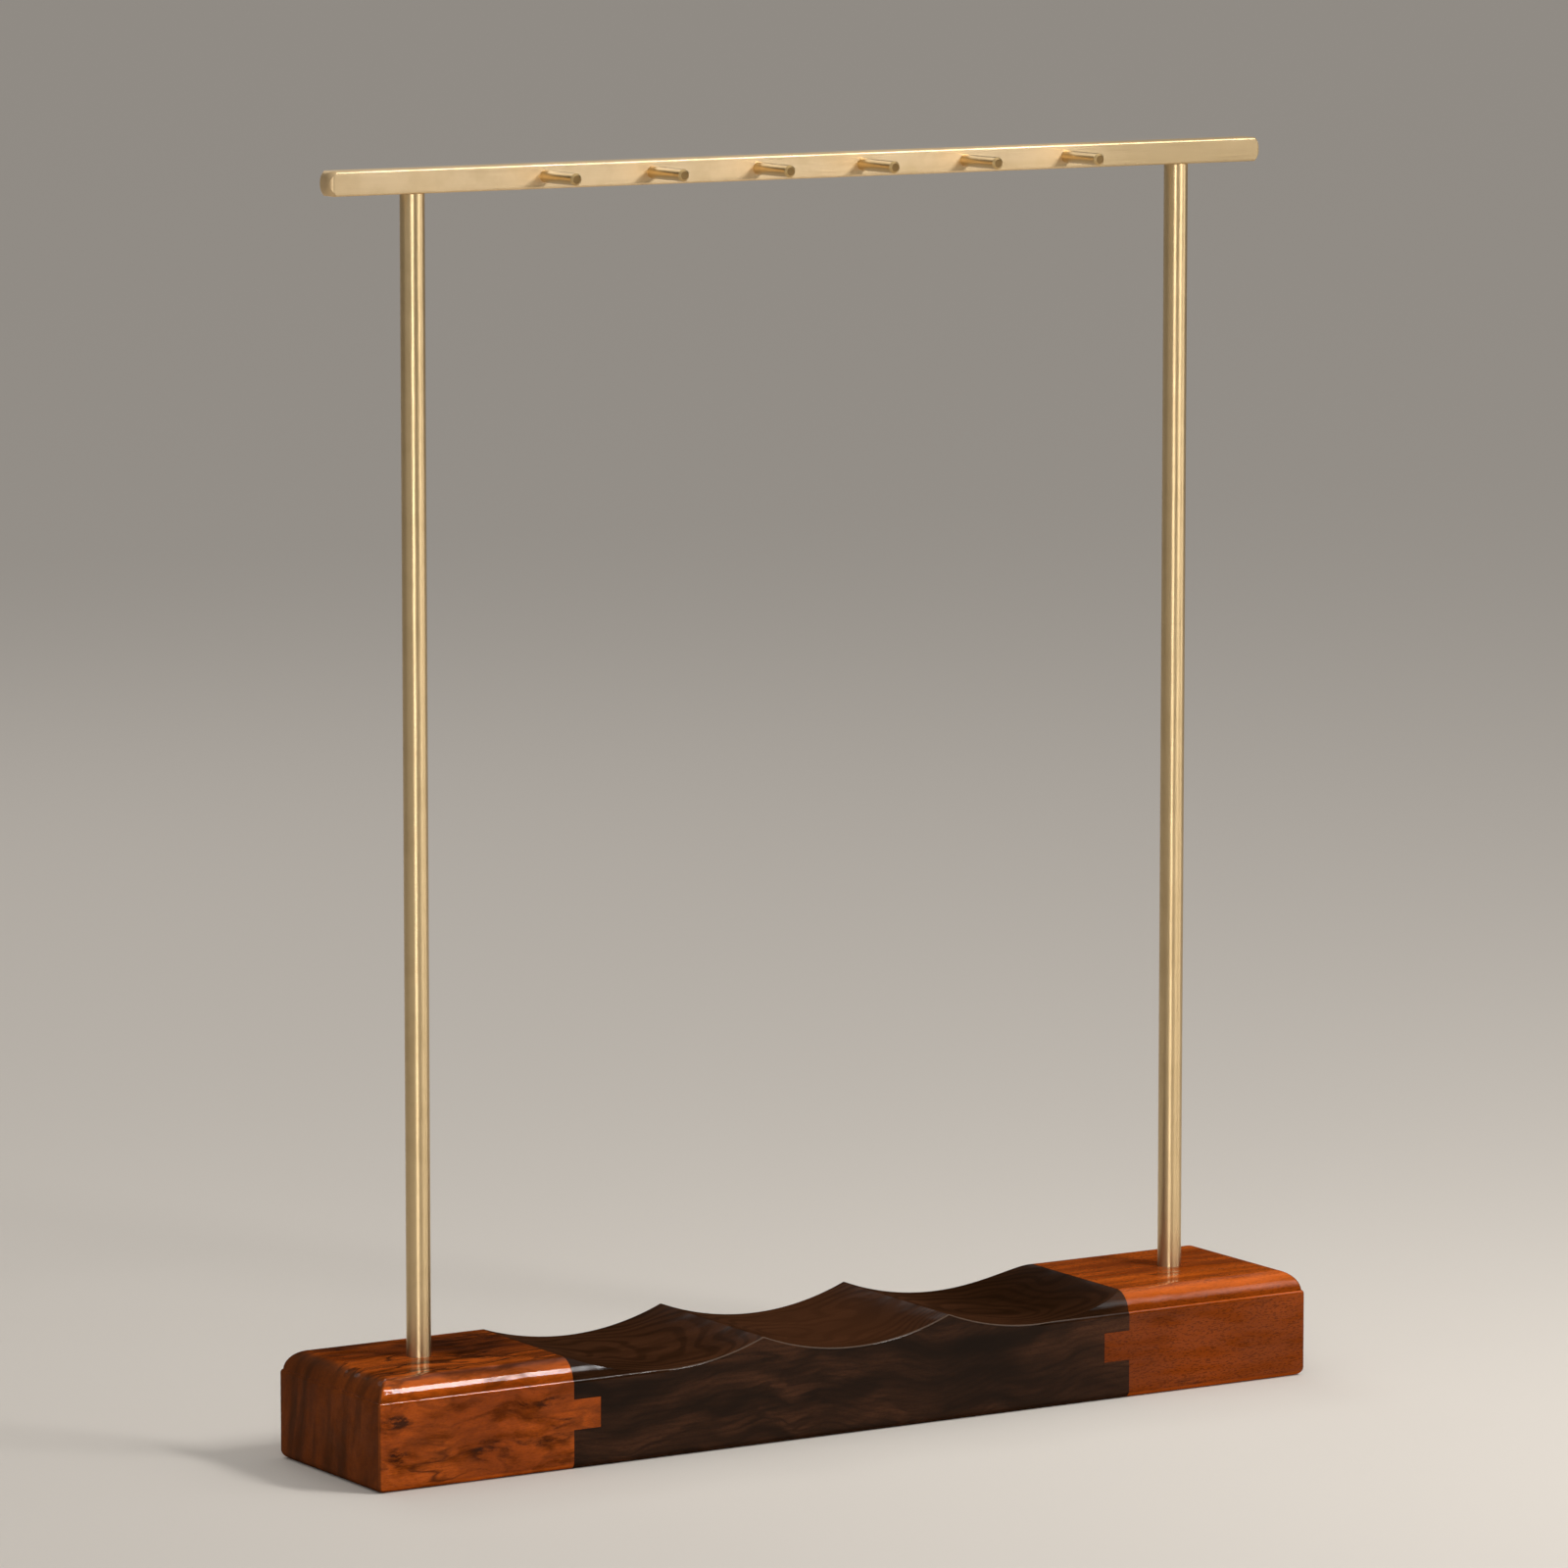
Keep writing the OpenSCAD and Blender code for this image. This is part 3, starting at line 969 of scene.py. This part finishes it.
def rosewood(name, colours, figure, knots, shade_patches, depths):
    """Red-brown wood under clear lacquer, with flames in its knots and darker end grain; painted shade
    darkens listed spots, the tops and the fronts, and painted light brightens the rounded upper edges.
    """
    material, wires, place, shader = new_material(name)
    grain = place_group(wires, "wood_figure", {"Vector": place, **figure})
    light, mid, dark = (rgba(c) for c in (colours.rose_light, colours.rose_mid, colours.rose_dark))
    signed, facing = normal_axes(wires)
    colour = wires.mix(grain["Tone"], mid, light)
    colour = wires.mix(wires.times(grain["Fibres"], FIBRE_DEPTH), colour, mid)
    colour = wires.mix(wires.ramp(facing["Y"], *FACE_ON, 0.0, depths["front mid"]), colour, mid)
    # Painted light: faces between front-on and upright, the rounds of the upper edges, are mixed towards
    # the palest colour and keep fewer dark pores
    painted_edge_light = wires.ramp(facing["Y"], *PAINTED_LIGHT_STARTS, 0.0, depths["painted edge light"])
    painted_edge_light = wires.times(painted_edge_light, wires.ramp(facing["Y"], *PAINTED_LIGHT_STOPS, 1.0, 0.0))
    colour = wires.mix(painted_edge_light, colour, light)
    # Darkening in the listed spots: painted shade, and on the left block partly its dark figure
    shade_patch_depth = wires.times(spot_mask(wires, place, shade_patches), depths["shade_patches"])
    colour = wires.mix(shade_patch_depth, colour, dark)
    band_depth = wires.plus(
        wires.ramp(facing["Y"], *FACE_ON, depths["bands"], depths["front bands"]),
        wires.ramp(facing["X"], *END_BANDS, 0.0, depths["end bands"] - depths["bands"]),
    )
    layer_depths = {
        "Bands": band_depth,
        "Clouds": wires.ramp(facing["X"], *END_CLEAR, depths["clouds"], 0.0),
        "Flames": wires.ramp(spot_mask(wires, place, knots), 0.0, 1.0, depths["flames"], depths["knots"]),
        "Veins": wires.ramp(facing["X"], *END_CLEAR, depths["veins"], 0.0),
        "Pores": wires.ramp(painted_edge_light, 0.0, depths["painted edge light"], depths["pores"], PAINTED_LIGHT_PORES * depths["pores"]),
    }
    for layer, depth in layer_depths.items():
        colour = wires.mix(wires.times(grain[layer], depth), colour, dark)
    # Painted shade: the tops and the fronts are mixed towards the darkest colour
    painted_side_shade = wires.plus(
        wires.ramp(facing["Z"], *FACE_ON, 0.0, depths["top painted shade"]),
        wires.ramp(facing["Y"], *FACE_ON, 0.0, depths["front painted shade"]),
    )
    colour = wires.mix(painted_side_shade, colour, dark)
    end_grain = wires.ramp(facing["X"], *END_GRAIN, 0.0, END_GRAIN_DEPTH)
    wires.put(shader["Base Color"], wires.mix(end_grain, colour, rgba(colours.rose_end)))
    lacquered(wires, shader, place, grain, figure["Seed"], GLOSS_LACQUER)
    gloss = wires.ramp(facing["X"], *END_DULL, 1.0, END_GLOSS)
    gloss = wires.times(gloss, wires.ramp(signed["Z"], *UNDER_DULL, UNDER_GLOSS, 1.0))
    gloss = wires.times(gloss, wires.ramp(grain["Clouds"], 0.0, 1.0, 1.0, CLOUD_GLOSS))
    wires.put(shader["Coat Weight"], gloss)
    return material


def dark_wood(name, colours, figure, depths):
    """Near-black brown wood under clear lacquer that shines less at a grazing angle, with a painted
    highlight on the scoop rims and painted shade in the right scoop.
    """
    material, wires, place, shader = new_material(name)
    grain = place_group(wires, "wood_figure", {"Vector": place, **figure})
    light, deep = rgba(colours.dark_light), rgba(colours.dark_deep)
    signed, facing = normal_axes(wires)
    colour = wires.mix(grain["Tone"], deep, light)
    layer_depths = {
        "Fibres": FIBRE_DEPTH,
        "Pores": depths["pores"],
        "Veins": depths["veins"],
        "Bands": wires.ramp(facing["Z"], *FACE_ON, depths["bands"], depths["top bands"]),
    }
    for layer, depth in layer_depths.items():
        colour = wires.mix(wires.times(grain[layer], depth), colour, deep)
    colour = wires.mix(wires.ramp(facing["Z"], *FACE_ON, 0.0, depths["top light"]), colour, light)
    ring_depth = wires.ramp(facing["Z"], *FACE_ON, depths["rings"], depths["top rings"])
    colour = wires.mix(wires.times(grain["Rings"], ring_depth), colour, deep)
    # The middle scoop is mixed lighter; the right scoop is mixed darker, which is painted shade
    for spots, depth, tone in ((PALE_SCOOP, "pale scoop", light), (SHADED_SCOOP, "painted shade scoop", deep)):
        spot_depth = wires.ramp(facing["Z"], *FACE_ON, 0.0, depths[depth])
        colour = wires.mix(wires.times(spot_mask(wires, place, spots), spot_depth), colour, tone)
    # Painted highlight: the eased rims of the scoops, facing between front and up, are mixed towards a
    # paler brown
    rim = wires.times(
        wires.ramp(facing["Y"], *RIM_STARTS), wires.ramp(facing["Y"], *RIM_STOPS, 1.0, 0.0)
    )
    rim = wires.times(rim, wires.ramp(signed["Z"], *RIM_UPWARD, 0.0, depths["rim"]))
    from_middle = wires.math("ABSOLUTE", wires.split(place)["X"])
    rim = wires.times(rim, wires.ramp(from_middle, SCOOP_PITCH, JOINT_X, 1.0, 0.0))
    wires.put(shader["Base Color"], wires.mix(rim, colour, rgba(colours.dark_rim_highlight)))
    lacquered(wires, shader, place, grain, figure["Seed"], SATIN_LACQUER)
    slant = wires.add("ShaderNodeLayerWeight", {"Blend": 0.5}).outputs["Facing"]
    gloss = wires.ramp(slant, *GRAZING, 1.0, GRAZING_GLOSS)
    gloss = wires.times(gloss, wires.ramp(facing["Z"], *TOP_DULL, 1.0, TOP_GLOSS))
    gloss = wires.times(gloss, wires.ramp(rim, 0.0, depths["rim"], 1.0, RIM_GLOSS))
    gloss = wires.times(gloss, wires.ramp(signed["Z"], *UNDER_DULL, UNDER_GLOSS, 1.0))
    wires.put(shader["Coat Weight"], gloss)
    return material


# Brush lines run along the axis with the smallest stretch; rough is the range of the roughness
ROD_FINISH = {"stretch": (5000, 5000, 60), "seed": 0.0, "rough": (0.33, 0.44)}
BAR_FINISH = {"stretch": (60, 5000, 5000), "seed": 3.0, "rough": (0.4, 0.5)}
PEG_FINISH = {"stretch": (3000, 200, 3000), "seed": 6.0, "rough": (0.34, 0.44)}
ZINC_FINISH = {"stretch": (900, 900, 900), "seed": 2.0, "rough": (0.3, 0.45)}

CLOUD_TARNISH = 0.5
BLOT_TARNISH = 0.35
ZINC_TARNISH = 0.35
BRUSH_DEPTH = 0.02 * MM
BRUSH_STRENGTH = 0.35
CUT_DEPTH = 0.75

# Where the painted shade on the bar starts beside the last peg, and where it is deepest
SHADE_START = 66 * MM
SHADE_FULL = 98 * MM
SHADE_DEPTH = 0.8
ROUGH_EDGE = 0.2

# The rods are polished round and round, which draws their highlights out lengthwise
POLISH_STRETCH = 0.75
POLISH_TURN = 0.25


def brushed_brass(name, clean, aged, finish, cut_end=None, shaded_end=None, polished_round=False):
    """Satin brass with brush lines; pegs have dull cut ends, and the bar has soft edges and painted shade
    on its right end.
    """
    material, wires, place, shader = new_material(name)
    lined = wires.stretch(place, finish["stretch"])
    brushed = place_group(wires, "brush_lines", {"Vector": lined, "Place": place, "Seed": finish["seed"]})
    colour = wires.mix(wires.times(brushed["Cloud"], CLOUD_TARNISH), rgba(clean), rgba(aged))
    colour = wires.mix(wires.times(brushed["Blots"], BLOT_TARNISH), colour, rgba(aged))
    roughness = wires.ramp(brushed["Lines"], 0.0, 1.0, *finish["rough"])
    if cut_end:
        _, facing = normal_axes(wires)
        colour = wires.mix(wires.ramp(facing["Y"], *CUT_FACE, 0.0, CUT_DEPTH), colour, rgba(cut_end))
    if shaded_end:
        _, facing = normal_axes(wires)
        # Painted shade: the bar's colour darkens towards its right end
        tarnish_and_shade = wires.ramp(wires.split(place)["X"], SHADE_START, SHADE_FULL, 0.0, SHADE_DEPTH)
        colour = wires.mix(tarnish_and_shade, colour, rgba(shaded_end))
        roughness = wires.plus(roughness, wires.ramp(facing["Y"], *BAR_FACE, ROUGH_EDGE, 0.0))
    bump = wires.bump(brushed["Lines"], BRUSH_DEPTH, BRUSH_STRENGTH)
    wires.fill(shader, {"Base Color": colour, "Roughness": roughness, "Normal": bump, "Metallic": 1.0})
    if polished_round:
        wires.fill(shader, {"Anisotropic": POLISH_STRETCH, "Anisotropic Rotation": POLISH_TURN})
    return material


def zinc_plate(name, colours, finish):
    """Plated steel of the hidden screws and washers."""
    material, wires, place, shader = new_material(name)
    lined = wires.stretch(place, finish["stretch"])
    brushed = place_group(wires, "brush_lines", {"Vector": lined, "Place": place, "Seed": finish["seed"]})
    tarnish_and_shade = wires.times(brushed["Cloud"], ZINC_TARNISH)
    colour = wires.mix(tarnish_and_shade, rgba(colours.zinc), rgba(colours.zinc_dull))
    roughness = wires.ramp(brushed["Lines"], 0.0, 1.0, *finish["rough"])
    wires.fill(shader, {"Base Color": colour, "Roughness": roughness, "Metallic": 1.0})
    return material


# Operators


class RACK_OT_end_blocks(bpy.types.Operator):
    """Model the two moulded end blocks with their tongues"""

    bl_idname = "rack.end_blocks"
    bl_label = "End Blocks"

    def execute(self, context):
        colours = context.scene.rack_colours
        left = rosewood(
            "rosewood_figured", colours, SWIRLED_FIGURE, SWIRLED_KNOTS, SWIRLED_FIGURE_AND_SHADE, SWIRLED_DEPTHS
        )
        right = rosewood(
            "rosewood_plain", colours, STRAIGHT_FIGURE, STRAIGHT_KNOTS, STRAIGHT_PAINTED_SHADE, STRAIGHT_DEPTHS
        )
        block = left_end_block("left_block", context.scene.rack_sizes)
        twin = copy_of(block, "right_block", mirror=True)
        finish_piece(block, "left_end_block", left)
        finish_piece(twin, "right_end_block", right)
        return {"FINISHED"}


class RACK_OT_centre_block(bpy.types.Operator):
    """Model the dark centre block with its three brush rests"""

    bl_idname = "rack.centre_block"
    bl_label = "Centre Block"

    def execute(self, context):
        material = dark_wood("dark_wood", context.scene.rack_colours, WAVY_FIGURE, DARK_DEPTHS)
        finish_piece(centre_block(context.scene.rack_sizes), "centre_block", material)
        return {"FINISHED"}


class RACK_OT_rods(bpy.types.Operator):
    """Model the two round rods"""

    bl_idname = "rack.rods"
    bl_label = "Rods"

    def execute(self, context):
        colours = context.scene.rack_colours
        material = brushed_brass(
            "rod_brass", colours.rod_brass, colours.brass_aged, ROD_FINISH, polished_round=True
        )
        rod = left_rod("left_rod", context.scene.rack_sizes)
        twin = copy_of(rod, "right_rod", move=(2 * POST_X, 0, 0))
        finish_piece(rod, "left_post", material)
        finish_piece(twin, "right_post", material)
        return {"FINISHED"}


class RACK_OT_bar(bpy.types.Operator):
    """Model the square bar"""

    bl_idname = "rack.bar"
    bl_label = "Bar"

    def execute(self, context):
        colours = context.scene.rack_colours
        material = brushed_brass(
            "bar_brass", colours.brass, colours.brass_aged, BAR_FINISH, shaded_end=colours.brass_shaded
        )
        finish_piece(bar(context.scene.rack_sizes), "top_bar", material)
        return {"FINISHED"}


class RACK_OT_pegs(bpy.types.Operator):
    """Model the row of hanging pegs"""

    bl_idname = "rack.pegs"
    bl_label = "Pegs"

    def execute(self, context):
        colours = context.scene.rack_colours
        material = brushed_brass(
            "peg_brass", colours.peg_brass, colours.brass_aged, PEG_FINISH, cut_end=colours.peg_end
        )
        first = first_peg("hanging_peg_1", context.scene.rack_sizes)
        row = [first]
        for index in range(2, PEG_COUNT + 1):
            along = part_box(f"peg_{index}")[0].x - PEG_LOW.x
            row.append(copy_of(first, f"hanging_peg_{index}", move=(along, 0, 0)))
        for index, piece in enumerate(row, start=1):
            finish_piece(piece, f"peg_{index}", material)
        return {"FINISHED"}


class RACK_OT_foot_screws(bpy.types.Operator):
    """Model the screws and washers under the base"""

    bl_idname = "rack.foot_screws"
    bl_label = "Foot Screws"

    def execute(self, context):
        material = zinc_plate("zinc_plate", context.scene.rack_colours, ZINC_FINISH)
        to_right = (2 * POST_X, 0, 0)
        for kind, model in (("screw", left_screw), ("washer", left_washer)):
            piece = model(f"left_{kind}")
            twin = copy_of(piece, f"right_{kind}", move=to_right)
            finish_piece(piece, f"left_foot_{kind}", material)
            finish_piece(twin, f"right_foot_{kind}", material)
        return {"FINISHED"}


# Stage

RACK_MIDDLE = (0, 0, 0.2)
RIGHT_FRONT_EDGE = (POST_X, BASE_FRONT, BASE_TOP)

# Softboxes in metres; one without a target is turned by its own lean
SOFTBOXES = {
    "key": {"place": (0.395, -0.60, 0.72), "width": 0.11, "height": 0.40, "target": None},
    "side": {"place": (1.0, -0.52, 0.25), "width": 0.35, "height": 0.5, "target": RACK_MIDDLE},
    "front": {"place": (-0.88, -1.33, 0.46), "width": 0.36, "height": 0.9, "target": RACK_MIDDLE},
    "left": {"place": (-1.10, -0.17, 0.52), "width": 1.0, "height": 0.7, "target": RACK_MIDDLE},
    "band": {"place": (0.62, -0.55, 0.55), "width": 0.25, "height": 0.6, "target": RIGHT_FRONT_EDGE},
    "back": {"place": (0.05, 1.3, 1.0), "width": 0.9, "height": 0.3, "target": RACK_MIDDLE},
}
BAND_SPREAD = math.radians(40)

# Heights of a ray, as the sine of its slope, between which the sky brightens
SKY_FADE = (0.33, 0.9)

FLOOR_SIZE = 80
FLOOR_DROP = 0.05 * MM
FLOOR_ROUGHNESS = 0.9
FLOOR_SPECULAR = 0.1
SENSOR_WIDTH = 36


def softbox(name, box, power):
    """A rectangular lamp that the camera doesn't see, facing its target, or else straight down."""
    deselect_all()
    bpy.ops.object.light_add(type="AREA", location=box["place"])
    lamp = bpy.context.object
    lamp.name = f"{name}_softbox"
    lamp.data.shape = "RECTANGLE"
    lamp.data.size = box["width"]
    lamp.data.size_y = box["height"]
    lamp.data.energy = power
    lamp.visible_camera = False
    if box["target"]:
        toward = Vector(box["target"]) - lamp.location
        lamp.rotation_euler = toward.to_track_quat("-Z", "Y").to_euler()
    return lamp


def studio_sky(stage):
    """Soft light from above that fades towards the horizon."""
    world = bpy.data.worlds.new("studio_sky")
    bpy.context.scene.world = world
    world.use_nodes = True
    wires = Wiring(world.node_tree)
    ray = wires.add("ShaderNodeTexCoord").outputs["Generated"]
    strength = wires.ramp(wires.split(ray)["Z"], *SKY_FADE, stage.sky_horizon, stage.sky_zenith)
    shader = wires.add("ShaderNodeBackground", {"Color": (1, 1, 1, 1), "Strength": strength})
    wires.add("ShaderNodeOutputWorld", {"Surface": shader.outputs[0]})


class RACK_OT_stage(bpy.types.Operator):
    """Set up the floor, the lamps and the camera"""

    bl_idname = "rack.stage"
    bl_label = "Stage"

    def execute(self, context):
        scene, stage = context.scene, context.scene.rack_stage
        scene.view_settings.view_transform = "Standard"
        studio_sky(stage)
        deselect_all()
        bpy.ops.mesh.primitive_plane_add(size=FLOOR_SIZE, location=(0, 0, -FLOOR_DROP))
        floor = context.object
        floor.name = "floor"
        material, wires, _, shader = new_material("pale_floor")
        wires.put(shader["Base Color"], rgba(scene.rack_colours.floor))
        wires.fill(shader, {"Roughness": FLOOR_ROUGHNESS, "Specular IOR Level": FLOOR_SPECULAR})
        floor.data.materials.append(material)
        lamps = {}
        for name, box in SOFTBOXES.items():
            lamps[name] = softbox(name, box, getattr(stage, f"{name}_power"))
        lamps["key"].rotation_euler.x = stage.key_lean
        lamps["band"].data.spread = BAND_SPREAD
        deselect_all()
        bpy.ops.object.camera_add(location=stage.camera_place)
        camera = context.object
        camera.name = "photo_camera"
        camera.rotation_euler = (QUARTER - stage.camera_tilt, 0, -stage.camera_heading)
        camera.data.lens = stage.camera_lens
        camera.data.sensor_width = SENSOR_WIDTH
        scene.camera = camera
        return {"FINISHED"}


class RACK_PT_panel(bpy.types.Panel):
    """Lists the steps that build the rack"""

    bl_idname = "RACK_PT_panel"
    bl_label = "Brush Rack"
    bl_space_type = "VIEW_3D"
    bl_region_type = "UI"
    bl_category = "Rack"

    def draw(self, context):
        for operator in OPERATORS:
            self.layout.operator(operator.bl_idname)


OPERATORS = (
    RACK_OT_end_blocks,
    RACK_OT_centre_block,
    RACK_OT_rods,
    RACK_OT_bar,
    RACK_OT_pegs,
    RACK_OT_foot_screws,
    RACK_OT_stage,
)
SETTINGS = {"rack_sizes": RackSizes, "rack_colours": RackColours, "rack_stage": RackStage}
CLASSES = (*SETTINGS.values(), *OPERATORS, RACK_PT_panel)


def register():
    for cls in CLASSES:
        bpy.utils.register_class(cls)
    for name, group in SETTINGS.items():
        setattr(bpy.types.Scene, name, PointerProperty(type=group))


def unregister():
    for name in SETTINGS:
        delattr(bpy.types.Scene, name)
    for cls in reversed(CLASSES):
        bpy.utils.unregister_class(cls)


def main():
    """Builds the rack and its stage."""
    register()
    bpy.ops.rack.end_blocks()
    bpy.ops.rack.centre_block()
    bpy.ops.rack.rods()
    bpy.ops.rack.bar()
    bpy.ops.rack.pegs()
    bpy.ops.rack.foot_screws()
    bpy.ops.rack.stage()


if __name__ == "__main__":
    main()
